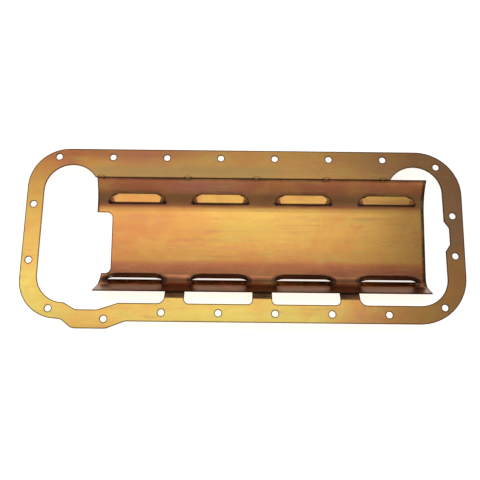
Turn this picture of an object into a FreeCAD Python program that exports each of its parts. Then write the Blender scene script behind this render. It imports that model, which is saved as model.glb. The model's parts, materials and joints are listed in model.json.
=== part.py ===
"""Windage tray: a flat rail plate that carries a rolled, louvred trough below it.

Millimetres. +X runs to the end with the square-cut window, +Y to the far rail and +Z to the crank.
The origin lies in the plate's upper face, midway between the two long bolt rows and midway
between the first and the last of their eight bolt columns.
"""
import FreeCAD
import Part
import Sketcher
import math
import os
import re

Vector = FreeCAD.Vector
doc = FreeCAD.newDocument("windage_tray")

SIZES = {
    # Sheet and bolt pattern
    "sheet_gauge": 1.5,
    "hole_dia": 8.73,
    "bolt_pitch": 76.2,
    "row_y": 110,
    "corner_x": 265.5,
    "far_corner_y": 100,
    "near_left_corner_y": 105.7,
    "near_right_corner_y": 99.7,
    "jog_hole_y": 119.2,
    "left_hole_x": 297.3,
    "left_hole_y": 39.8,
    "right_hole_x": 284.2,
    "right_hole_y": 28.5,
    # Outer edge of the plate
    "left_x": 307.5,
    "far_right_x": 300,
    "near_right_x": 295.8,
    "edge_y": 122.2,
    "near_left_edge_y": 119.5,
    "far_left_round": 56,
    "far_right_round": 63,
    "near_right_round": 66,
    "near_left_round": 54,
    "jog_depth": 10,
    "jog_left_x": 248,
    "jog_left_run": 15,
    "jog_right_x": 162,
    "jog_right_run": 25,
    "jog_round": 14,
    # Openings in the plate
    "rail_inner_y": 97.5,
    "web_edge_y": 80,
    "left_window_top_y": 98,
    "right_window_top_y": 99.5,
    "left_inner_x": 284,
    "right_inner_x": 271.5,
    "window_wide": 76,
    "dip_depth": 9.3,
    "dip_left_x": 245,
    "dip_left_run": 16,
    "dip_right_x": 172,
    "dip_right_run": 28,
    "dip_round": 12,
    "relief_depth": 6.7,
    "relief_far_y": 21,
    "relief_near_y": 22,
    "relief_run": 10,
    "relief_round": 4,
    # Trough
    "trough_mid_x": 20.8,
    "trough_right": 230.9,
    "trough_left": 234.3,
    "trough_lap": 0.6,
    "far_lip_angle": 50,
    "far_bend": 64,
    "floor_angle": 5.9,
    "floor_flat": 90,
    "near_bend": 18,
    "near_wall_angle": 62,
    "near_wall": 21.8,
    "far_end_trim": 1.8,
    "near_end_trim_root": 9,
    "near_end_trim_tip": 4.3,
    "notch_deep": 22,
    "notch_far_y": 36,
    "notch_near_y": 50.5,
    "notch_round": 8,
    # Louvres
    "louvre_pitch": 118.3,
    "louvre_long": 80.5,
    "louvre_top": 62,
    "louvre_back": 52,
    "far_louvre_rise": 5,
    "far_louvre_deep": 13,
    "near_louvre_rise": 10.5,
    "near_louvre_deep": 8.5,
    "louvre_round": 9,
    "far_slit_y": 50,
    "near_slit_y": -59,
    # Straps
    "strap_wide": 26.8,
    "strap_angle": 35,
    "strap_below_lip": 2,
    "strap_bend": 1.5,
    "strap_root": 6,
    "strap_end_root": 10,
    "strap_end_flare": 4.2,
    # Weld beads
    "tack_1_x": -205.7,
    "tack_2_x": -84.2,
    "tack_3_x": 12.3,
    "tack_4_x": 110.3,
    "tack_5_x": 191,
    "tack_long": 10,
    "tack_thick": 4.2,
    "tack_inset": 0.8,
    "tack_below_face": 0.05,
    "seam_long": 22,
    "seam_thick": 4.6,
}
LOUVRES_IN_ROW = 4
LOUVRE_STEPS = (0, 0.45, 0.8, 1)
STRAPS = 3
TACKS = 5

sheet = doc.addObject("Spreadsheet::Sheet", "sizes")
for row, (name, number) in enumerate(SIZES.items(), start=1):
    sheet.set(f"A{row}", name)
    sheet.set(f"B{row}", str(number))
    sheet.setAlias(f"B{row}", name)
doc.recompute()

# The trough's cross-section: centres of its two bends, and where a strap touches its outer face
FAR_Y = "(web_edge_y + trough_lap)"
FAR_CENTRE_Y = f"({FAR_Y} - far_bend * sin(far_lip_angle))"
FAR_CENTRE_Z = "(far_bend * cos(far_lip_angle) - sheet_gauge)"
NEAR_CENTRE_Y = (f"({FAR_CENTRE_Y} + (far_bend - near_bend) * sin(floor_angle)"
                 " - floor_flat * cos(floor_angle))")
NEAR_CENTRE_Z = (f"({FAR_CENTRE_Z} - (far_bend - near_bend) * cos(floor_angle)"
                 " - floor_flat * sin(floor_angle))")
STRAP_TOUCH_Y = (f"({NEAR_CENTRE_Y} - (near_bend + sheet_gauge) * sin(near_wall_angle)"
                 " - (near_wall - strap_below_lip) * cos(near_wall_angle))")
STRAP_TOUCH_Z = (f"({NEAR_CENTRE_Z} - (near_bend + sheet_gauge) * cos(near_wall_angle)"
                 " + (near_wall - strap_below_lip) * sin(near_wall_angle))")
STRAP_BEND_REACH = "((strap_bend + sheet_gauge) * tan(strap_angle / 2))"
STRAP_START_Y = f"({STRAP_TOUCH_Y} + {STRAP_TOUCH_Z} / tan(strap_angle) - {STRAP_BEND_REACH})"
STRAP_FLAT = f"(-{STRAP_TOUCH_Z} / sin(strap_angle) - {STRAP_BEND_REACH})"


def value(text):
    """Work out an expression of the sheet's names."""
    result = sheet.evalExpression(str(text))
    return float(getattr(result, "Value", result))


def bind(thing, prop, text):
    """Bind a property to an expression of the sheet's names."""
    thing.setExpression(prop, re.sub(r"\b(" + "|".join(SIZES) + r")\b", r"sizes.\1", str(text)))


def dimension(sketch, kind, *geometry, size):
    """Add a dimension to a sketch and bind it."""
    number = value(size)
    start = math.radians(number) if kind == "Angle" else number
    index = sketch.addConstraint(Sketcher.Constraint(kind, *geometry, start))
    bind(sketch, f"Constraints[{index}]", size)


def constrain(sketch, kind, *geometry):
    sketch.addConstraint(Sketcher.Constraint(kind, *geometry))


def new_body(name):
    body = doc.addObject("PartDesign::Body", name)
    body.Label = name
    return body


def datum(body, role):
    return next(item for item in body.Origin.OriginFeatures if item.Role == role)


def new_sketch(body, name, plane="XY_Plane"):
    sketch = body.newObject("Sketcher::SketchObject", name)
    sketch.AttachmentSupport = [(datum(body, plane), "")]
    sketch.MapMode = "FlatFace"
    return sketch


def arc_between(centre, radius, start, end):
    """A counter-clockwise arc from one angle to another, in degrees."""
    circle = Part.Circle(centre, Vector(0, 0, 1), radius)
    return Part.ArcOfCircle(circle, math.radians(start), math.radians(end))


def outline(sketch, corners):
    """Draw a closed ring from its sharp corners, each (x, y, radius or None) as expressions."""
    points = [Vector(value(x), value(y), 0) for x, y, _ in corners]
    count = len(points)
    leaves, enters, rounds = [], [], []
    for index, (_, _, radius) in enumerate(corners):
        here = points[index]
        if radius is None:
            leaves.append(here)
            enters.append(here)
            rounds.append(None)
            continue
        before = (points[index - 1] - here).normalize()
        after = (points[(index + 1) % count] - here).normalize()
        half = before.getAngle(after) / 2
        reach = value(radius) / math.tan(half)
        centre = here + (before + after).normalize() * (value(radius) / math.sin(half))
        enter, leave = here + before * reach, here + after * reach
        left_turn = before.cross(after).z < 0
        spans = [spot - centre for spot in ((enter, leave) if left_turn else (leave, enter))]
        angles = [math.degrees(math.atan2(span.y, span.x)) for span in spans]
        enters.append(enter)
        leaves.append(leave)
        rounds.append((arc_between(centre, value(radius), *angles), left_turn))
    lines = [sketch.addGeometry(Part.LineSegment(leaves[index], enters[(index + 1) % count]))
             for index in range(count)]
    for index, (x, y, radius) in enumerate(corners):
        line_in, line_out = lines[index - 1], lines[index]
        mark = sketch.addGeometry(Part.Point(points[index]), True)
        dimension(sketch, "DistanceX", -1, 1, mark, 1, size=x)
        dimension(sketch, "DistanceY", -1, 1, mark, 1, size=y)
        if radius is None:
            constrain(sketch, "Coincident", line_in, 2, line_out, 1)
            constrain(sketch, "Coincident", line_in, 2, mark, 1)
            continue
        curve, left_turn = rounds[index]
        arc = sketch.addGeometry(curve)
        first, last = (1, 2) if left_turn else (2, 1)
        constrain(sketch, "Tangent", line_in, 2, arc, first)
        constrain(sketch, "Tangent", arc, last, line_out, 1)
        constrain(sketch, "PointOnObject", mark, 1, line_in)
        constrain(sketch, "PointOnObject", mark, 1, line_out)
        dimension(sketch, "Radius", arc, size=radius)


def circle_at(sketch, x, y):
    """A bolt hole's circle."""
    spot = Vector(value(x), value(y), 0)
    ring = sketch.addGeometry(Part.Circle(spot, Vector(0, 0, 1), value("hole_dia") / 2))
    dimension(sketch, "DistanceX", -1, 1, ring, 3, size=x)
    dimension(sketch, "DistanceY", -1, 1, ring, 3, size=y)
    dimension(sketch, "Diameter", ring, size="hole_dia")


def pad(body, sketch, name, length, side="One side", reverse=False):
    feature = body.newObject("PartDesign::Pad", name)
    feature.Profile = sketch
    feature.SideType = side
    feature.Reversed = reverse
    bind(feature, "Length", length)
    return feature


def cut_through(body, sketch, name):
    feature = body.newObject("PartDesign::Pocket", name)
    feature.Profile = sketch
    feature.Type = "ThroughAll"
    return feature


def repeat_along_x(body, name, features, length, occurrences):
    pattern = body.newObject("PartDesign::LinearPattern", name)
    pattern.Originals = features
    pattern.Direction = (datum(body, "X_Axis"), [""])
    bind(pattern, "Length", length)
    pattern.Occurrences = occurrences
    body.Tip = pattern
    return pattern


def window(body, name, corners):
    sketch = new_sketch(body, f"{name}_outline")
    outline(sketch, corners)
    cut_through(body, sketch, name)


def round_ended_window(body, name, mid_x, top_y):
    """A window beside the trough, with a half round at both ends."""
    sketch = new_sketch(body, f"{name}_outline")
    radius = value("window_wide / 2")
    mid, far_y, near_y = (value(text) for text in
                          (mid_x, f"{top_y} - {radius}", f"{radius} - rail_inner_y"))
    far = sketch.addGeometry(arc_between(Vector(mid, far_y, 0), radius, 0, 180))
    near = sketch.addGeometry(arc_between(Vector(mid, near_y, 0), radius, 180, 360))
    left = sketch.addGeometry(Part.LineSegment(Vector(mid - radius, far_y, 0),
                                               Vector(mid - radius, near_y, 0)))
    right = sketch.addGeometry(Part.LineSegment(Vector(mid + radius, near_y, 0),
                                                Vector(mid + radius, far_y, 0)))
    for first, first_end, second, second_end in ((far, 2, left, 1), (left, 2, near, 1),
                                                 (near, 2, right, 1), (right, 2, far, 1)):
        constrain(sketch, "Tangent", first, first_end, second, second_end)
    constrain(sketch, "Vertical", left)
    dimension(sketch, "Radius", far, size="window_wide / 2")
    dimension(sketch, "DistanceX", -1, 1, far, 3, size=mid_x)
    dimension(sketch, "DistanceY", -1, 1, far, 3, size=f"{top_y} - window_wide / 2")
    dimension(sketch, "DistanceY", -1, 1, near, 3, size="window_wide / 2 - rail_inner_y")
    cut_through(body, sketch, name)


def rail_plate():
    body = new_body("rail_plate")
    edge = new_sketch(body, "outer_edge")
    outline(edge, [
        ("-left_x", "edge_y", "far_left_round"),
        ("-left_x", "-near_left_edge_y", "near_left_round"),
        ("-jog_left_x", "-near_left_edge_y", "jog_round"),
        ("jog_left_run - jog_left_x", "-edge_y - jog_depth", "jog_round"),
        ("-jog_right_x - jog_right_run", "-edge_y - jog_depth", "jog_round"),
        ("-jog_right_x", "-edge_y", "jog_round"),
        ("near_right_x", "-edge_y", "near_right_round"),
        ("far_right_x", "edge_y", "far_right_round"),
    ])
    pad(body, edge, "blank", "sheet_gauge", reverse=True)
    window(body, "crank_opening", [
        ("window_wide / 2 - left_inner_x", "-rail_inner_y", None),
        ("right_inner_x - window_wide / 2", "-rail_inner_y", None),
        ("right_inner_x - window_wide / 2", "web_edge_y", None),
        ("window_wide / 2 - left_inner_x", "web_edge_y", None),
    ])
    round_ended_window(body, "left_window", "window_wide / 2 - left_inner_x", "left_window_top_y")
    round_ended_window(body, "right_window", "right_inner_x - window_wide / 2",
                       "right_window_top_y")
    window(body, "jog_dip", [
        ("-dip_left_x", "-rail_inner_y", None),
        ("dip_left_run - dip_left_x", "-rail_inner_y - dip_depth", "dip_round"),
        ("-dip_right_x - dip_right_run", "-rail_inner_y - dip_depth", "dip_round"),
        ("-dip_right_x", "-rail_inner_y", None),
    ])
    window(body, "right_relief", [
        ("right_inner_x", "-relief_near_y", None),
        ("right_inner_x + relief_depth", "relief_run - relief_near_y", "relief_round"),
        ("right_inner_x + relief_depth", "relief_far_y - relief_run", "relief_round"),
        ("right_inner_x", "relief_far_y", None),
    ])
    bolt_holes(body)
    straps(body)
    return body


def bolt_holes(body):
    """Two long rows on one pitch, and single holes at the corners, the jog and both ends."""
    first_x = "-3.5 * bolt_pitch"
    for row_name, start_x, y, count in (("far_row", first_x, "row_y", 7),
                                        ("near_row", f"{first_x} + 2 * bolt_pitch", "-row_y", 5)):
        sketch = new_sketch(body, f"{row_name}_hole")
        circle_at(sketch, start_x, y)
        hole = cut_through(body, sketch, f"{row_name}_first")
        repeat_along_x(body, row_name, [hole], f"{count - 1} * bolt_pitch", count)
    singles = new_sketch(body, "single_holes")
    circle_at(singles, "corner_x", "far_corner_y")
    circle_at(singles, "corner_x", "-near_right_corner_y")
    circle_at(singles, "-corner_x", "-near_left_corner_y")
    circle_at(singles, f"{first_x} + bolt_pitch", "-jog_hole_y")
    for side in ("", "-"):
        circle_at(singles, "-left_hole_x", f"{side}left_hole_y")
        circle_at(singles, "right_hole_x", f"{side}right_hole_y")
    cut_through(body, singles, "corner_and_end_holes")


def straps(body):
    """Straps of the near rail: a flat root each, and the part that is bent down to the trough."""
    for index in range(STRAPS):
        mid_x = f"trough_mid_x + ({index - (STRAPS - 1) / 2}) * louvre_pitch"
        left = ("strap_end_flare", "strap_end_root") if index == 0 else ("0", "strap_root")
        right = ("strap_end_flare", "strap_end_root") if index == STRAPS - 1 else ("0", "strap_root")
        half = "strap_wide / 2"
        skirt = "2 * strap_end_root"
        root = new_sketch(body, f"strap_root_{index + 1}")
        outline(root, [
            (f"{mid_x} - {half} - {skirt}", "-rail_inner_y - sheet_gauge", None),
            (f"{mid_x} + {half} + {skirt}", "-rail_inner_y - sheet_gauge", None),
            (f"{mid_x} + {half} + {skirt}", "-rail_inner_y", None),
            (f"{mid_x} + {half} + {right[0]}", "-rail_inner_y", right[1]),
            (f"{mid_x} + {half}", STRAP_START_Y, None),
            (f"{mid_x} - {half}", STRAP_START_Y, None),
            (f"{mid_x} - {half} - {left[0]}", "-rail_inner_y", left[1]),
            (f"{mid_x} - {half} - {skirt}", "-rail_inner_y", None),
        ])
        pad(body, root, f"strap_flat_{index + 1}", "sheet_gauge", reverse=True)
    profile = new_sketch(body, "strap_profile", "YZ_Plane")
    bind(profile, "AttachmentOffset.Base.z",
         f"trough_mid_x - {(STRAPS - 1) / 2} * louvre_pitch")
    strap_section(profile)
    bent = pad(body, profile, "strap_first", "strap_wide", side="Symmetric")
    repeat_along_x(body, "strap_row", [bent], f"{STRAPS - 1} * louvre_pitch", STRAPS)


def strap_section(sketch):
    """The bend and the straight run of a strap, whose upper edge meets the trough's wall."""
    turn = value("strap_angle")
    run = Vector(math.cos(math.radians(turn)), -math.sin(math.radians(turn)), 0)
    across = Vector(-run.y, run.x, 0)
    centre = Vector(value(STRAP_START_Y), -value("strap_bend + sheet_gauge"), 0)
    faces = {}
    for face, radius in (("upper", "strap_bend + sheet_gauge"), ("lower", "strap_bend")):
        reach = value(radius)
        low = centre + across * reach
        arc = sketch.addGeometry(arc_between(centre, reach, 90 - turn, 90))
        line = sketch.addGeometry(Part.LineSegment(low + run * value(STRAP_FLAT), low))
        constrain(sketch, "Tangent", line, 2, arc, 1)
        dimension(sketch, "Radius", arc, size=radius)
        faces[face] = (arc, line)
    (upper_arc, upper_line), (lower_arc, lower_line) = faces["upper"], faces["lower"]
    root = sketch.addGeometry(Part.LineSegment(centre + Vector(0, value("strap_bend"), 0),
                                               centre + Vector(0, value("strap_bend + sheet_gauge"), 0)))
    low_end = centre + across * value("strap_bend") + run * value(STRAP_FLAT)
    tip = sketch.addGeometry(Part.LineSegment(low_end, low_end + across * value("sheet_gauge")))
    constrain(sketch, "Coincident", root, 1, lower_arc, 2)
    constrain(sketch, "Coincident", root, 2, upper_arc, 2)
    constrain(sketch, "Coincident", tip, 1, lower_line, 1)
    constrain(sketch, "Coincident", tip, 2, upper_line, 1)
    constrain(sketch, "Coincident", upper_arc, 3, lower_arc, 3)
    constrain(sketch, "Vertical", root)
    constrain(sketch, "PointOnObject", upper_arc, 3, root)
    constrain(sketch, "PointOnObject", upper_arc, 2, -1)
    constrain(sketch, "Parallel", upper_line, lower_line)
    constrain(sketch, "Perpendicular", tip, upper_line)
    dimension(sketch, "DistanceX", -1, 1, upper_arc, 2, size=STRAP_START_Y)
    dimension(sketch, "Angle", upper_line, size="180 - strap_angle")
    dimension(sketch, "Distance", upper_line, size=STRAP_FLAT)


def trough():
    body = new_body("trough")
    bind(body, "Placement.Base.x", "trough_mid_x")
    section = new_sketch(body, "section", "YZ_Plane")
    trough_section(section)
    rolled = pad(body, section, "rolled_sheet", "trough_right", side="Two sides")
    bind(rolled, "Length2", "trough_left")
    window(body, "notched_end", [
        ("-trough_left - notch_deep", f"2 * {STRAP_TOUCH_Y}", None),
        ("near_end_trim_tip - trough_left", f"2 * {STRAP_TOUCH_Y}", None),
        ("near_end_trim_tip - trough_left", STRAP_TOUCH_Y, None),
        ("near_end_trim_root - trough_left", "-notch_near_y", None),
        ("notch_deep - trough_left", "-notch_near_y", "notch_round"),
        ("notch_deep - trough_left", "notch_far_y", "notch_round"),
        ("-trough_left", "notch_far_y", None),
        ("far_end_trim - trough_left", FAR_Y, None),
        ("far_end_trim - trough_left", f"2 * {FAR_Y}", None),
        ("-trough_left - notch_deep", f"2 * {FAR_Y}", None),
    ])
    louvre_row(body, "far", "far_slit_y", FAR_CENTRE_Y, FAR_CENTRE_Z, "far_bend")
    louvre_row(body, "near", "near_slit_y", NEAR_CENTRE_Y, NEAR_CENTRE_Z, "near_bend")
    return body


def trough_section(sketch):
    """Far bend, flat floor, near bend and near wall, on both faces, closed by square-cut lips."""
    far_centre = Vector(value(FAR_CENTRE_Y), value(FAR_CENTRE_Z), 0)
    near_centre = Vector(value(NEAR_CENTRE_Y), value(NEAR_CENTRE_Z), 0)
    floor, far_lip, near_end = (value(name) - 90 for name in
                                ("floor_angle", "far_lip_angle", "-near_wall_angle"))
    up_wall = Vector(-value("cos(near_wall_angle)"), value("sin(near_wall_angle)"), 0)

    def on_arc(centre, radius, angle):
        return centre + Vector(math.cos(math.radians(angle)), math.sin(math.radians(angle)), 0) * radius

    faces = []
    for thickness in ("0", "sheet_gauge"):
        far_size, near_size = f"far_bend + {thickness}", f"near_bend + {thickness}"
        far_radius, near_radius = value(far_size), value(near_size)
        far = sketch.addGeometry(arc_between(far_centre, far_radius, floor, far_lip))
        near = sketch.addGeometry(arc_between(near_centre, near_radius, near_end, floor))
        wall_foot = on_arc(near_centre, near_radius, near_end)
        wall = sketch.addGeometry(Part.LineSegment(wall_foot + up_wall * value("near_wall"), wall_foot))
        flat = sketch.addGeometry(Part.LineSegment(on_arc(near_centre, near_radius, floor),
                                                   on_arc(far_centre, far_radius, floor)))
        constrain(sketch, "Tangent", wall, 2, near, 1)
        constrain(sketch, "Tangent", near, 2, flat, 1)
        constrain(sketch, "Tangent", flat, 2, far, 1)
        dimension(sketch, "Radius", far, size=far_size)
        dimension(sketch, "Radius", near, size=near_size)
        faces.append((far, near, flat, wall))
    (inner_far, inner_near, inner_flat, inner_wall), (outer_far, outer_near, _, outer_wall) = faces
    far_lip_line = sketch.addGeometry(Part.LineSegment(
        on_arc(far_centre, value("far_bend + sheet_gauge"), far_lip),
        on_arc(far_centre, value("far_bend"), far_lip)))
    near_lip_line = sketch.addGeometry(Part.LineSegment(
        on_arc(near_centre, value("near_bend + sheet_gauge"), near_end) + up_wall * value("near_wall"),
        on_arc(near_centre, value("near_bend"), near_end) + up_wall * value("near_wall")))
    constrain(sketch, "Coincident", far_lip_line, 1, outer_far, 2)
    constrain(sketch, "Coincident", far_lip_line, 2, inner_far, 2)
    constrain(sketch, "Coincident", near_lip_line, 1, outer_wall, 1)
    constrain(sketch, "Coincident", near_lip_line, 2, inner_wall, 1)
    constrain(sketch, "Coincident", inner_far, 3, outer_far, 3)
    constrain(sketch, "Coincident", inner_near, 3, outer_near, 3)
    constrain(sketch, "PointOnObject", inner_far, 3, far_lip_line)
    constrain(sketch, "Perpendicular", near_lip_line, inner_wall)
    dimension(sketch, "Angle", far_lip_line, size="90 + far_lip_angle")
    dimension(sketch, "Angle", inner_wall, size="-near_wall_angle")
    dimension(sketch, "Distance", inner_wall, size="near_wall")
    dimension(sketch, "DistanceX", -1, 1, inner_far, 2, size=FAR_Y)
    dimension(sketch, "DistanceY", -1, 1, inner_far, 2, size="-sheet_gauge")
    dimension(sketch, "Angle", inner_flat, size="floor_angle")
    dimension(sketch, "Distance", inner_flat, size="floor_flat")


def louvre_row(body, name, slit_y, centre_y, centre_z, bend):
    """Louvres raised to the crank side, slit along their near edge and hinged along the far one."""
    slit_z = f"({centre_z} - sqrt({bend}^2 - ({slit_y} - {centre_y})^2))"
    rise, deep = f"{name}_louvre_rise", f"{name}_louvre_deep"
    slope = f"(asin(({slit_y} - {centre_y}) / {bend}) + asin({deep} / 2 / {bend}))"
    lean = f"((louvre_long - louvre_top) / 2 / {rise})"
    first_x = f"-{(LOUVRES_IN_ROW - 1) / 2} * louvre_pitch"

    def section(label, part_way, half, top, base):
        """A louvre's outline across its depth, part way along it from the slit to the hinge."""
        sketch = new_sketch(body, f"{name}_{label}")
        sketch.AttachmentOffset = FreeCAD.Placement(
            Vector(), FreeCAD.Rotation(Vector(1, 0, 0), 90 + value(slope)))
        along = f"{deep} * {part_way}"
        bind(sketch, "AttachmentOffset.Rotation.Angle", f"90 deg + {slope}")
        bind(sketch, "AttachmentOffset.Base.x", first_x)
        bind(sketch, "AttachmentOffset.Base.y", f"{slit_y} + {along} * cos({slope})")
        bind(sketch, "AttachmentOffset.Base.z", f"{slit_z} + {along} * sin({slope})")
        radius = f"louvre_round * {max(1 - part_way, LOUVRE_STEPS[1] / 4)}"
        outline(sketch, [
            (f"-({half} + {lean} * {base})", f"-{base}", None),
            (f"{half} + {lean} * {base}", f"-{base}", None),
            (f"{half} - {lean} * {top}", top, radius),
            (f"-({half} - {lean} * {top})", top, radius),
        ])
        return sketch

    def loft(kind, label, side_wall, roof_wall, base):
        """Sections whose ends follow a quarter ellipse from the slit's tips to the hinge."""
        sections = []
        for number, part_way in enumerate(LOUVRE_STEPS):
            ends = f"(louvre_long - louvre_back) * {math.sqrt(1 - part_way ** 2)}"
            half = f"((louvre_back + {ends}) / 2 - {side_wall})"
            top = f"({rise} * {1 - part_way} - {roof_wall})"
            sections.append(section(f"{label}_{number}", part_way, half, top, base))
        feature = body.newObject(f"PartDesign::{kind}", f"{name}_{label}")
        feature.Profile = sections[0]
        feature.Sections = sections[1:]
        feature.Ruled = True
        return feature

    skin = loft("AdditiveLoft", "skin", "0", "0", "(sheet_gauge / 2)")
    hollow = loft("SubtractiveLoft", "hollow", f"(sheet_gauge * sqrt(1 + {lean}^2))",
                  f"(sheet_gauge * sqrt(1 + ({rise} / {deep})^2))", "(3 * sheet_gauge)")
    repeat_along_x(body, f"{name}_louvres", [skin, hollow],
                   f"{LOUVRES_IN_ROW - 1} * louvre_pitch", LOUVRES_IN_ROW)


def bead(name, x, y, z, long, thick, hosts):
    """A weld bead: a blunt-ended rod along the joint, less the sheets that it runs into."""
    lump = new_body(f"{name}_lump")
    for prop, place in (("x", x), ("y", y), ("z", z)):
        bind(lump, f"Placement.Base.{prop}", place)
    half = new_sketch(lump, f"{name}_half")
    outline(half, [
        (f"-{long} / 2", "0", None),
        (f"{long} / 2", "0", None),
        (f"{long} / 2", f"{thick} / 4", None),
        (f"{long} / 2 - {thick} / 3", f"{thick} / 2", None),
        (f"{thick} / 3 - {long} / 2", f"{thick} / 2", None),
        (f"-{long} / 2", f"{thick} / 4", None),
    ])
    turned = lump.newObject("PartDesign::Revolution", f"{name}_turned")
    turned.Profile = half
    turned.ReferenceAxis = (half, ["H_Axis"])
    turned.Angle = 360
    cut = doc.addObject("Part::Cut", name)
    cut.Label = name
    cut.Base = lump
    cut.Tool = hosts
    return cut


def weld_beads(plate, tray):
    """Tack beads on the far joint, and one bead at the end of each strap."""
    shadow = doc.addObject("Part::Box", "under_the_web")
    bind(shadow, "Length", "2 * left_x")
    bind(shadow, "Width", "2 * tack_thick")
    bind(shadow, "Height", "2 * tack_thick")
    bind(shadow, "Placement.Base.x", "-left_x")
    bind(shadow, "Placement.Base.y", "web_edge_y + trough_lap")
    bind(shadow, "Placement.Base.z", "-2 * tack_thick - sheet_gauge")
    hosts = doc.addObject("Part::MultiFuse", "sheets_and_shadow")
    hosts.Shapes = [plate, tray, shadow]
    beads = []
    for number in range(1, TACKS + 1):
        beads.append(bead(f"tack_weld_{number}",
                          f"tack_{number}_x",
                          "web_edge_y - tack_inset",
                          "-tack_thick / 2 - tack_below_face",
                          "tack_long", "tack_thick", hosts))
    for index in range(STRAPS):
        beads.append(bead(f"strap_weld_{index + 1}",
                          f"trough_mid_x + ({index - (STRAPS - 1) / 2}) * louvre_pitch",
                          f"{STRAP_TOUCH_Y} - (sheet_gauge + seam_thick / 5) * sin(strap_angle)",
                          f"{STRAP_TOUCH_Z} - (sheet_gauge + seam_thick / 5) * cos(strap_angle)",
                          "seam_long", "seam_thick", hosts))
    return beads


def check_and_export(nodes):
    doc.recompute()
    failed = [item.Name for item in doc.Objects if {"Invalid", "Error"} & set(item.State)]
    if failed:
        raise RuntimeError(f"failed objects: {failed}")
    os.makedirs("parts", exist_ok=True)
    for node in nodes:
        shape = node.Shape
        if shape.isNull() or not shape.isValid() or len(shape.Solids) != 1:
            raise RuntimeError(f"{node.Label}: not one valid solid")
        shape.exportStep(os.path.join("parts", f"{node.Label}.step"))
        box = shape.BoundBox
        print(f"{node.Label}: {shape.Volume:.0f} mm3,"
              f" x {box.XMin:.2f} to {box.XMax:.2f}, y {box.YMin:.2f} to {box.YMax:.2f},"
              f" z {box.ZMin:.2f} to {box.ZMax:.2f}")


plate_body = rail_plate()
trough_body = trough()
doc.recompute()
check_and_export([plate_body, trough_body] + weld_beads(plate_body, trough_body))
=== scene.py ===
"""Windage tray in yellow, iridescent zinc plate, seen from above its crank side.

Metres, in the CAD frame: +X along the tray, +Y to the far rail, +Z to the crank. The rail
plate's upper face is z = 0.
"""
import json
import math

import bmesh
import bpy
from mathutils import Matrix, Vector

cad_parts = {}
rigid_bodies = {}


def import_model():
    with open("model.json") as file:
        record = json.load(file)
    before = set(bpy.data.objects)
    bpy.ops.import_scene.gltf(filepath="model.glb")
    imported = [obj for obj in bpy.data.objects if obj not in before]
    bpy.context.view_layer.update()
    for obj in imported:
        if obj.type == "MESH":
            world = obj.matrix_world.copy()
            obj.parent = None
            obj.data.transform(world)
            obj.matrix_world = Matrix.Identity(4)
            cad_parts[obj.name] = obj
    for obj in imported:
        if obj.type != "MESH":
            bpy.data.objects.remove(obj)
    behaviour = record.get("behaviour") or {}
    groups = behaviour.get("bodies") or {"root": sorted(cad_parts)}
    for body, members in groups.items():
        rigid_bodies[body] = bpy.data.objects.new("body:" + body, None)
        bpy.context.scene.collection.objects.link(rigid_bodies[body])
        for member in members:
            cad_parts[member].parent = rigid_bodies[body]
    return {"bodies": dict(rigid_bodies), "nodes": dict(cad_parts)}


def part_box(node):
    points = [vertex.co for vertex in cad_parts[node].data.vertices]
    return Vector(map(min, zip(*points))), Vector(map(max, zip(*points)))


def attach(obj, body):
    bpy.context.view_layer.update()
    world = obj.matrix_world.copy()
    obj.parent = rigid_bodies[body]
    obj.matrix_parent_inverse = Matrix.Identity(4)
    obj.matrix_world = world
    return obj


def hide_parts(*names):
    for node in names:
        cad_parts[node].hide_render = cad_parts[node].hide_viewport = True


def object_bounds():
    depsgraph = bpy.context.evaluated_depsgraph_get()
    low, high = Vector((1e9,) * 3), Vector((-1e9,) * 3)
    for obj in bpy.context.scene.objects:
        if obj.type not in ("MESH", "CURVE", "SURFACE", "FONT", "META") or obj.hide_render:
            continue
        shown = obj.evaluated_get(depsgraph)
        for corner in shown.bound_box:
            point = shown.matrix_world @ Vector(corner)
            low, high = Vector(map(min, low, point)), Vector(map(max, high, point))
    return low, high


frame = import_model()
cad_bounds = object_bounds()
nodes = frame["nodes"]
body = next(iter(frame["bodies"]))

# Camera: tilt from straight down, turn and roll, and the tray's offset and distance
CAMERA_TILT = math.radians(14.465)
CAMERA_TURN = math.radians(0.021)
CAMERA_ROLL = math.radians(-0.629)
CAMERA_OFFSET = Vector((0.00997, 0.00858, -0.8935))
FOCAL_PIXELS = 650
IMAGE_PIXELS = 480
SENSOR_MM = 36

# Floor and world light. The world is brighter near the horizon than overhead
FLOOR_SIZE = 12
FLOOR_GAP = 0.0002
FLOOR_COLOUR = (0.9, 0.9, 0.9, 1)
FLOOR_GLOW = 0.72
WORLD_COLOUR = (1, 0.98, 0.95, 1)
WORLD_WHITE = (1, 1, 1, 1)
HORIZON_LIGHT = 0.62
ZENITH_LIGHT = 0.30
HORIZON_TOP = 0.15
ZENITH_START = 0.60

# Where the louvres and the plate's web edge are
WEB_EDGE = 0.0803
LOUVRE_X = 0.07995
LOUVRE_PITCH = 0.1183

# Rings of painted shade round the slots: middle in Y, straight half length, reach past the ends and
# the sides
SLOT_SHADE_RINGS = {
    "near_slot": (-0.0590, 0.034, 0.0125, 0.0085),
    "far_slot": (0.0505, 0.0372, 0.0062, 0.0036),
}

STRAW = (0.76, 0.57, 0.14)
GOLD = (0.74, 0.46, 0.11)
AMBER = (0.75, 0.36, 0.095)
ORANGE = (0.68, 0.28, 0.09)
ROSE = (0.62, 0.22, 0.12)
RED = (0.50, 0.15, 0.08)
OLIVE = (0.48, 0.34, 0.12)
GREEN = (0.56, 0.52, 0.14)
BROWN = (0.52, 0.27, 0.11)
UMBER = (0.32, 0.13, 0.065)
# A deep brown used for painted shade on the near wall's lip
DEEP_SHADE = (0.24, 0.12, 0.05)
BARK = (0.38, 0.20, 0.09)
RUSSET = (0.46, 0.23, 0.11)
PINK = (0.60, 0.21, 0.20)
PLUM = (0.42, 0.24, 0.15)
DARK = (0.03, 0.02, 0.015)

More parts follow.
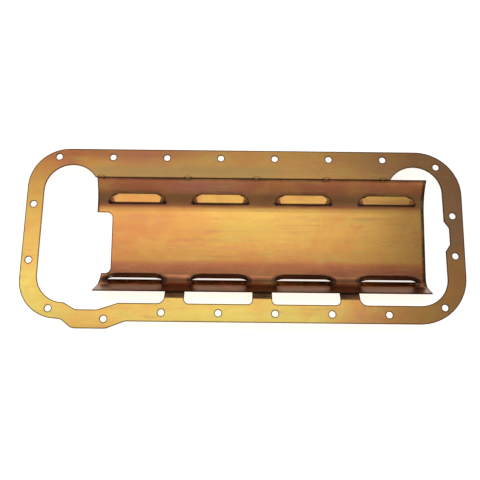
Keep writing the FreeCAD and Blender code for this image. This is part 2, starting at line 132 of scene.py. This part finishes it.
# The interference film's colours, from its thin places to its thick ones
FILM = ((0.32, OLIVE), (0.42, GOLD), (0.50, STRAW), (0.57, AMBER), (0.66, ROSE))
FILM_SHARE = 0.30
SHEEN_SHARE = 0.32
BLUSH_SHARE = 0.40
SPECK_SHARE = 0.4
# Painted shade along the cut edges: the rounding radius that finds them and how dark they are
# painted
EDGE_ROUND = 0.0024
EDGE_SHADE_SHARE = 0.9
RAIL_STREAKS = 0.10
TROUGH_STREAKS = 0.24
WELD_MARK = (0.0070, 0.0040, 0.02)
WELD_MARK_SHARE = 0.7
BUMP_STRENGTH = 0.10
BUMP_HEIGHT = 0.0003

BEAD_STEPS = 28
BEAD_SIDES = 20
BEAD_RIPPLE = 0.06
BEAD_RIPPLE_LONG = 0.0003

# Patches: centre, reach along each axis, tint and strength
RAIL_PATCHES = (
    ((0.0, -0.12, 0), (0.45, 0.07, 0.1), STRAW, 1.0),
    ((-0.29, -0.09, 0), (0.12, 0.14, 0.1), STRAW, 1.0),
    ((-0.305, 0.03, 0), (0.06, 0.08, 0.1), GOLD, 0.8),
    ((-0.28, 0.12, 0), (0.13, 0.07, 0.1), ORANGE, 1.0),
    ((-0.25, 0.10, 0), (0.03, 0.05, 0.1), RED, 0.6),
    ((-0.15, 0.112, 0), (0.09, 0.025, 0.1), ROSE, 0.8),
    ((-0.05, 0.09, 0), (0.30, 0.018, 0.1), OLIVE, 0.7),
    # The brown patch at the right end is painted shade
    ((0.28, 0.02, 0), (0.12, 0.20, 0.1), BROWN, 1.0),
    ((0.19, -0.115, 0), (0.10, 0.05, 0.1), ORANGE, 0.7),
    ((0.155, -0.112, 0), (0.05, 0.02, 0.1), ROSE, 0.5),
)
TROUGH_PATCHES = (
    ((-0.17, 0.0, -0.03), (0.17, 0.1, 0.1), ORANGE, 1.0),
    ((0.02, 0.02, -0.03), (0.18, 0.06, 0.1), GOLD, 0.9),
    ((0.05, -0.03, -0.03), (0.25, 0.035, 0.1), ORANGE, 0.7),
    # The brown patch at the right end is painted shade
    ((0.26, 0.0, -0.03), (0.10, 0.12, 0.1), BROWN, 0.4),
)

# Washes of painted shade and painted reflection: tint and strength, then each field that bounds it,
# with where it starts and is full
CRANK_SIDE = ("nz", 0.0, 0.2)
STRAP_SLOPE = ("ny", 0.2, 0.4)
STRAP_TOP = ("nz", 0.2, 0.4)
NEAR_SLOPE = ("ny", -0.5, -0.3)
# Painted shade on the rail plate: darker tints over the far rail and towards the right end, and on
# the strap under the near lip
RAIL_SHADE_WASHES = (
    (RED, 0.7, ("y", 0.102, 0.116), ("x", -0.04, -0.10)),
    (OLIVE, 0.7, ("y", 0.102, 0.090), ("y", 0.060, 0.075), ("x", 0.10, 0.0), ("x", -0.24, -0.20)),
    (PLUM, 0.5, ("x", 0.20, 0.26), ("y", -0.06, 0.0)),
    (BROWN, 0.45, ("y", 0.070, 0.080), ("x", -0.24, -0.16)),
    (BROWN, 0.35, ("y", -0.080, -0.090), ("x", 0.08, 0.20)),
    (RUSSET, 0.9, ("x", 0.08, 0.24), ("y", 0.04, 0.08)),
    (UMBER, 0.9, STRAP_SLOPE, STRAP_TOP),
    (DARK, 0.8, STRAP_SLOPE, STRAP_TOP, ("y", -0.094, -0.086)),
)
TROUGH_SHADE_WASHES = (
    # Far wall: painted shade and reflection on it, the web's painted shadow, and painted shade at
    # the far louvres' left ends, free edges, slit ends and hinges
    (RED, 0.85, ("y", 0.041, 0.047), ("ny", -0.09, -0.17)),
    (BARK, 0.7, ("y", 0.045, 0.050), ("y", 0.068, 0.060), ("ny", -0.16, -0.22)),
    (DARK, 0.6, ("y", 0.0770, 0.0795), CRANK_SIDE),
    (ROSE, 0.6, ("louvre", -0.024, -0.034), ("y", 0.049, 0.051), ("y", 0.070, 0.066),
     ("ny", -0.16, -0.08)),
    (DARK, 0.7, ("off_louvre", 0.039, 0.038), ("y", 0.0465, 0.0485), ("y", 0.0500, 0.0496),
     CRANK_SIDE),
    (DARK, 0.9, ("off_louvre", 0.0350, 0.0375), ("far_slot", 1.0, 0.6), CRANK_SIDE),
    (DARK, 0.35, ("off_louvre", 0.038, 0.028), ("y", 0.0612, 0.0624), ("y", 0.0680, 0.0630),
     CRANK_SIDE),
    (PINK, 0.5, ("y", 0.060, 0.068), ("y", 0.079, 0.075), ("x", -0.13, -0.08), ("x", 0.02, -0.04),
     CRANK_SIDE),
    # Painted shade and reflection on the near wall, its lip and left wing, and rings of painted
    # shade round the near louvres
    (RED, 0.9, ("y", -0.029, -0.038), NEAR_SLOPE),
    (UMBER, 0.6, ("y", -0.036, -0.046), NEAR_SLOPE),
    (UMBER, 0.85, ("y", -0.046, -0.056), CRANK_SIDE),
    (DEEP_SHADE, 0.75, ("y", -0.062, -0.068), CRANK_SIDE),
    (UMBER, 0.8, ("x", -0.180, -0.198), ("y", -0.042, -0.050), CRANK_SIDE),
    (DARK, 0.9, ("near_slot", 1.05, 0.85), CRANK_SIDE),
    (DARK, 0.6, ("y", -0.0775, -0.0795)),
    # Painted shade along the right and left ends
    (DARK, 0.9, ("x", 0.2458, 0.2490), CRANK_SIDE),
    (DARK, 0.7, ("x", -0.2095, -0.2115), CRANK_SIDE),
)


class Nodes:
    """Adds and links the shader nodes of a material or a world."""

    def __init__(self, owner):
        self.owner = owner
        owner.use_nodes = True
        self.tree = owner.node_tree
        self.tree.nodes.clear()

    def add(self, kind, **settings):
        node = self.tree.nodes.new(kind)
        for key, setting in settings.items():
            setattr(node, key, setting)
        return node

    def feed(self, socket, source):
        if isinstance(source, bpy.types.NodeSocket):
            self.tree.links.new(source, socket)
        else:
            socket.default_value = source

    def math(self, operation, *values, clamp=False):
        node = self.add("ShaderNodeMath", operation=operation, use_clamp=clamp)
        for socket, source in zip(node.inputs, values):
            self.feed(socket, source)
        return node.outputs[0]

    def place(self, scale, offset):
        mapping = self.add("ShaderNodeMapping")
        self.feed(mapping.inputs["Vector"], self.add("ShaderNodeTexCoord").outputs["Object"])
        mapping.inputs["Scale"].default_value = scale
        mapping.inputs["Location"].default_value = offset
        return mapping.outputs["Vector"]

    def noise(self, scale, detail=3, rough=0.6, warp=0, stretch=(1, 1, 1), offset=(0, 0, 0)):
        node = self.add("ShaderNodeTexNoise")
        self.feed(node.inputs["Vector"], self.place(stretch, offset))
        node.inputs["Scale"].default_value = scale
        node.inputs["Detail"].default_value = detail
        node.inputs["Roughness"].default_value = rough
        node.inputs["Distortion"].default_value = warp
        return node.outputs["Fac"]

    def smooth(self, value, low, high):
        """0 at low, rising smoothly to 1 at high, which may be the smaller."""
        node = self.add("ShaderNodeMapRange", interpolation_type="SMOOTHSTEP")
        self.feed(node.inputs["Value"], value)
        node.inputs["From Min"].default_value = low
        node.inputs["From Max"].default_value = high
        return node.outputs["Result"]

    def ramp(self, fac, stops):
        node = self.add("ShaderNodeValToRGB")
        self.feed(node.inputs["Fac"], fac)
        elements = node.color_ramp.elements
        while len(elements) < len(stops):
            elements.new(0.5)
        for element, (position, colour) in zip(elements, stops):
            element.position = position
            element.color = (*colour, 1)
        return node.outputs["Color"]

    def mix(self, share, first, second):
        node = self.add("ShaderNodeMix", data_type="RGBA")
        colour_inputs = [socket for socket in node.inputs if socket.type == "RGBA"]
        self.feed(node.inputs[0], share)
        for socket, source in zip(colour_inputs, (first, second)):
            self.feed(socket, (*source, 1) if isinstance(source, tuple) else source)
        return next(socket for socket in node.outputs if socket.type == "RGBA")

    def part_of(self, kind, output, name):
        """One coordinate of a place or a normal."""
        split = self.add("ShaderNodeSeparateXYZ")
        self.feed(split.inputs[0], self.add(kind).outputs[output])
        return split.outputs[name]

    def field(self, name):
        """A place (x, y, z), a facing (nx, ny, nz), or a place seen from the nearest louvre."""
        if name == "louvre":
            from_one = self.math("SUBTRACT", self.field("x"), LOUVRE_X)
            return self.math("WRAP", from_one, LOUVRE_PITCH / 2, -LOUVRE_PITCH / 2)
        if name == "off_louvre":
            return self.math("ABSOLUTE", self.field("louvre"))
        if name in SLOT_SHADE_RINGS:
            return self.stadium(*SLOT_SHADE_RINGS[name])
        if name[0] == "n":
            return self.part_of("ShaderNodeNewGeometry", "Normal", name[1].upper())
        return self.part_of("ShaderNodeTexCoord", "Object", name.upper())

    def stadium(self, middle_y, half_long, reach_x, reach_y):
        """0 along the middle of each louvre in a row, growing to 1 past its ends and sides."""
        past_end = self.math("SUBTRACT", self.field("off_louvre"), half_long)
        past_end = self.math("MAXIMUM", past_end, 0)
        aside = self.math("ABSOLUTE", self.math("SUBTRACT", self.field("y"), middle_y))
        along = self.math("POWER", self.math("DIVIDE", past_end, reach_x), 2)
        across = self.math("POWER", self.math("DIVIDE", aside, reach_y), 2)
        return self.math("SQRT", self.math("ADD", along, across))

    def blob(self, centre, reach):
        """1 at a place on the tray, falling to 0 at its reach along each axis."""
        node = self.add("ShaderNodeTexGradient", gradient_type="QUADRATIC_SPHERE")
        scale = tuple(1 / r for r in reach)
        offset = tuple(-c / r for c, r in zip(centre, reach))
        self.feed(node.inputs["Vector"], self.place(scale, offset))
        return node.outputs["Fac"]


def make_camera():
    data = bpy.data.cameras.new("camera")
    data.sensor_width = SENSOR_MM
    data.lens = FOCAL_PIXELS / IMAGE_PIXELS * SENSOR_MM
    camera = bpy.data.objects.new("camera", data)
    bpy.context.scene.collection.objects.link(camera)
    turn = (Matrix.Rotation(CAMERA_ROLL, 3, "Z") @ Matrix.Rotation(CAMERA_TURN, 3, "Y")
            @ Matrix.Rotation(-CAMERA_TILT, 3, "X"))
    back = turn.transposed()
    camera.matrix_world = Matrix.Translation(-(back @ CAMERA_OFFSET)) @ back.to_4x4()
    bpy.context.scene.camera = camera


def tinted(n, base, patches, washes, welds):
    """The plating's large colours: the film, the patches, the washes of painted shade and
    reflection, and the marks of welding, each a heat tint with a painted shade rim.
    """
    film = n.ramp(n.noise(11, detail=4, warp=0.9), FILM)
    colour = n.mix(FILM_SHARE, base, film)
    for centre, reach, tint, strength in patches:
        spread = n.math("MULTIPLY", n.blob(centre, reach), strength)
        torn = n.math("MULTIPLY", spread, n.smooth(n.noise(22, warp=0.5, offset=centre), 0.3, 0.6))
        colour = n.mix(n.math("MULTIPLY_ADD", spread, 0.6, torn, clamp=True), colour, tint)
    # Washes of painted shade and painted reflection, broken up by blotches
    for tint, strength, *bounds in washes:
        blotches = n.smooth(n.noise(20, detail=4, warp=0.6), 0.35, 0.6)
        mask = n.math("MULTIPLY_ADD", blotches, 0.3 * strength, 0.7 * strength)
        for field, start, full in bounds:
            mask = n.math("MULTIPLY", n.smooth(n.field(field), start, full), mask)
        colour = n.mix(mask, colour, tint)
    # Each tack's mark: a dark rim of painted shade round it and a lighter heat tint in its middle
    for centre in welds:
        near = n.blob(centre, WELD_MARK)
        shade_rim = n.math("MULTIPLY", n.smooth(near, 0.0, 0.03), n.smooth(near, 0.20, 0.08))
        middle = n.smooth(near, 0.12, 0.3)
        colour = n.mix(n.math("MULTIPLY", shade_rim, WELD_MARK_SHARE), colour, DARK)
        colour = n.mix(n.math("MULTIPLY", middle, WELD_MARK_SHARE), colour, AMBER)
    return colour


def worn(n, colour, streaks):
    """The plating's small colours: sheen and blush, rolling streaks, grain and specks."""
    sheen = n.noise(60, detail=5, rough=0.7, warp=0.3, stretch=(0.22, 1, 1), offset=(0.4, 0.1, 0))
    colour = n.mix(n.math("MULTIPLY", n.smooth(sheen, 0.54, 0.68), SHEEN_SHARE), colour, GREEN)
    blush = n.noise(75, detail=5, rough=0.7, warp=0.3, stretch=(0.22, 1, 1), offset=(0.1, 0.7, 0))
    colour = n.mix(n.math("MULTIPLY", n.smooth(blush, 0.54, 0.68), BLUSH_SHARE), colour, ROSE)
    rolled = n.noise(150, detail=4, warp=0.1, stretch=(0.05, 1, 1), offset=(0.3, 0.9, 0))
    colour = n.mix(n.math("MULTIPLY", n.smooth(rolled, 0.56, 0.72), 2.2 * streaks), colour, BROWN)
    lines = n.noise(75, detail=4, stretch=(0.045, 1, 1))
    shade = n.math("MULTIPLY_ADD", lines, streaks, 1 - streaks / 2)
    grain = n.math("MULTIPLY_ADD", n.noise(900, detail=2), 0.10, 0.95)
    shaded = n.add("ShaderNodeHueSaturation")
    n.feed(shaded.inputs["Value"], n.math("MULTIPLY", shade, grain))
    n.feed(shaded.inputs["Color"], colour)
    specks = n.noise(420, detail=1, rough=0.5, offset=(1.3, 0.2, 0.6))
    specks = n.math("MULTIPLY", n.smooth(specks, 0.76, 0.82), SPECK_SHARE)
    return n.mix(specks, shaded.outputs["Color"], DARK)


def edge_shaded(n, colour):
    """Paints shade near a sheet's cut edges, where a rounded normal leaves the true one."""
    rounded = n.add("ShaderNodeBevel", samples=16)
    rounded.inputs["Radius"].default_value = EDGE_ROUND
    dot = n.add("ShaderNodeVectorMath", operation="DOT_PRODUCT")
    n.feed(dot.inputs[0], rounded.outputs["Normal"])
    n.feed(dot.inputs[1], n.add("ShaderNodeNewGeometry").outputs["Normal"])
    edge = n.smooth(dot.outputs["Value"], 0.9999, 0.99)
    return n.mix(n.math("MULTIPLY", edge, EDGE_SHADE_SHARE), colour, DARK)


def zinc(name, base, patches=(), washes=(), streaks=RAIL_STREAKS, welds=()):
    """Yellow passivated zinc: drifting interference colours, rolling streaks and painted shade
    along the cut edges.
    """
    n = Nodes(bpy.data.materials.new(name))
    colour = edge_shaded(n, worn(n, tinted(n, base, patches, washes, welds), streaks))
    shader = n.add("ShaderNodeBsdfPrincipled")
    n.feed(shader.inputs["Base Color"], colour)
    shader.inputs["Metallic"].default_value = 1
    smears = n.noise(35, stretch=(0.2, 1, 1))
    n.feed(shader.inputs["Roughness"], n.math("MULTIPLY_ADD", smears, 0.14, 0.22))
    bump = n.add("ShaderNodeBump")
    bump.inputs["Strength"].default_value = BUMP_STRENGTH
    bump.inputs["Distance"].default_value = BUMP_HEIGHT
    ridges = n.noise(240, stretch=(0.15, 1, 1))
    n.feed(bump.inputs["Height"], n.math("ADD", ridges, n.noise(1200, detail=2)))
    n.feed(shader.inputs["Normal"], bump.outputs["Normal"])
    out = n.add("ShaderNodeOutputMaterial")
    n.feed(out.inputs["Surface"], shader.outputs["BSDF"])
    return n.owner


def dress(node_name, material):
    materials = nodes[node_name].data.materials
    materials.clear()
    materials.append(material)


def middle_of(node_name):
    low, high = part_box(node_name)
    return (low + high) / 2


def bead(node_name, material):
    """A rippled weld bead with rounded ends, which fills its node's box."""
    middle = middle_of(node_name)
    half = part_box(node_name)[1] - middle
    form = bmesh.new()
    rings = []
    for step in range(1, BEAD_STEPS):
        along = -math.cos(math.pi * step / BEAD_STEPS)
        ripple = 1 - BEAD_RIPPLE + BEAD_RIPPLE * math.cos(along * half.x / BEAD_RIPPLE_LONG)
        girth = math.sqrt(1 - along ** 4) * ripple
        ring = []
        for side in range(BEAD_SIDES):
            turn = 2 * math.pi * side / BEAD_SIDES
            offset = (half.x * along, half.y * girth * math.cos(turn),
                      half.z * girth * math.sin(turn))
            ring.append(form.verts.new(middle + Vector(offset)))
        rings.append(ring)
    for first, second in zip(rings, rings[1:]):
        for side in range(BEAD_SIDES):
            after = (side + 1) % BEAD_SIDES
            form.faces.new((first[side], first[after], second[after], second[side]))
    for ring, tip_x in ((rings[0], -half.x), (rings[-1], half.x)):
        tip = form.verts.new(middle + Vector((tip_x, 0, 0)))
        for side in range(BEAD_SIDES):
            form.faces.new((ring[side], ring[(side + 1) % BEAD_SIDES], tip))
    bmesh.ops.recalc_face_normals(form, faces=form.faces)
    for face in form.faces:
        face.smooth = True
    mesh = bpy.data.meshes.new(f"{node_name}_bead")
    form.to_mesh(mesh)
    form.free()
    mesh.materials.append(material)
    piece = bpy.data.objects.new(f"{node_name}_bead", mesh)
    bpy.context.scene.collection.objects.link(piece)
    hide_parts(node_name)
    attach(piece, body)


def dress_tray():
    tacks = [middle_of(name) for name in nodes if name.startswith("tack")]
    marks = [(tack.x, WEB_EDGE, 0) for tack in tacks]
    dress("rail_plate", zinc("rail_zinc", AMBER, RAIL_PATCHES, RAIL_SHADE_WASHES, welds=marks))
    dress("trough", zinc("trough_zinc", AMBER, TROUGH_PATCHES, TROUGH_SHADE_WASHES, TROUGH_STREAKS))
    weld = zinc("weld_zinc", BROWN)
    for name in list(nodes):
        if "weld" in name:
            bead(name, weld)


def plain_stage():
    """A pale floor that the camera and reflections see as white, with the tray's shadow on it."""
    low = cad_bounds[0].z - FLOOR_GAP
    bpy.ops.mesh.primitive_plane_add(size=FLOOR_SIZE, location=(0, 0, low))
    floor = bpy.context.object
    floor.name = "floor"
    n = Nodes(bpy.data.materials.new("floor_white"))
    rays = n.add("ShaderNodeLightPath")
    seen = n.math("MAXIMUM", rays.outputs["Is Camera Ray"], rays.outputs["Is Glossy Ray"])
    seen = n.math("MAXIMUM", seen, rays.outputs["Is Transmission Ray"])
    paper = n.add("ShaderNodeBsdfDiffuse")
    paper.inputs["Color"].default_value = FLOOR_COLOUR
    glow = n.add("ShaderNodeEmission")
    n.feed(glow.inputs["Strength"], n.math("MULTIPLY", seen, FLOOR_GLOW))
    both = n.add("ShaderNodeAddShader")
    n.feed(both.inputs[0], paper.outputs[0])
    n.feed(both.inputs[1], glow.outputs[0])
    out = n.add("ShaderNodeOutputMaterial")
    n.feed(out.inputs["Surface"], both.outputs[0])
    floor.data.materials.append(n.owner)


def softbox(name, centre, aim, width, height, radiance):
    data = bpy.data.lights.new(name, "AREA")
    data.shape = "RECTANGLE"
    data.size = width
    data.size_y = height
    data.energy = radiance * math.pi * width * height
    lamp = bpy.data.objects.new(name, data)
    bpy.context.scene.collection.objects.link(lamp)
    lamp.location = centre
    lamp.rotation_euler = (Vector(aim) - Vector(centre)).to_track_quat("-Z", "Y").to_euler()


def world_light():
    """A soft studio room, which the camera sees as white."""
    n = Nodes(bpy.data.worlds.new("studio"))
    bpy.context.scene.world = n.owner
    height = n.part_of("ShaderNodeTexCoord", "Generated", "Z")
    overhead = n.smooth(height, HORIZON_TOP, ZENITH_START)
    strength = n.math("MULTIPLY_ADD", overhead, ZENITH_LIGHT - HORIZON_LIGHT, HORIZON_LIGHT)
    room = n.add("ShaderNodeBackground")
    room.inputs["Color"].default_value = WORLD_COLOUR
    n.feed(room.inputs["Strength"], strength)
    white = n.add("ShaderNodeBackground")
    white.inputs["Color"].default_value = WORLD_WHITE
    either = n.add("ShaderNodeMixShader")
    n.feed(either.inputs[0], n.add("ShaderNodeLightPath").outputs["Is Camera Ray"])
    n.feed(either.inputs[1], room.outputs[0])
    n.feed(either.inputs[2], white.outputs[0])
    out = n.add("ShaderNodeOutputWorld")
    n.feed(out.inputs["Surface"], either.outputs[0])


make_camera()
dress_tray()
plain_stage()
world_light()
softbox("key", (-0.29, 0.23, 1.3), (-0.29, 0.23, 0), 1.50, 0.50, 1.30)
softbox("back", (-0.40, 0.85, 1.3), (-0.40, 0.60, 0), 1.5, 0.50, 0.30)
softbox("front", (-0.35, -1.25, 0.85), (-0.20, 0.07, 0), 1.8, 1.0, 0.20)

bpy.context.scene.view_settings.view_transform = "Standard"
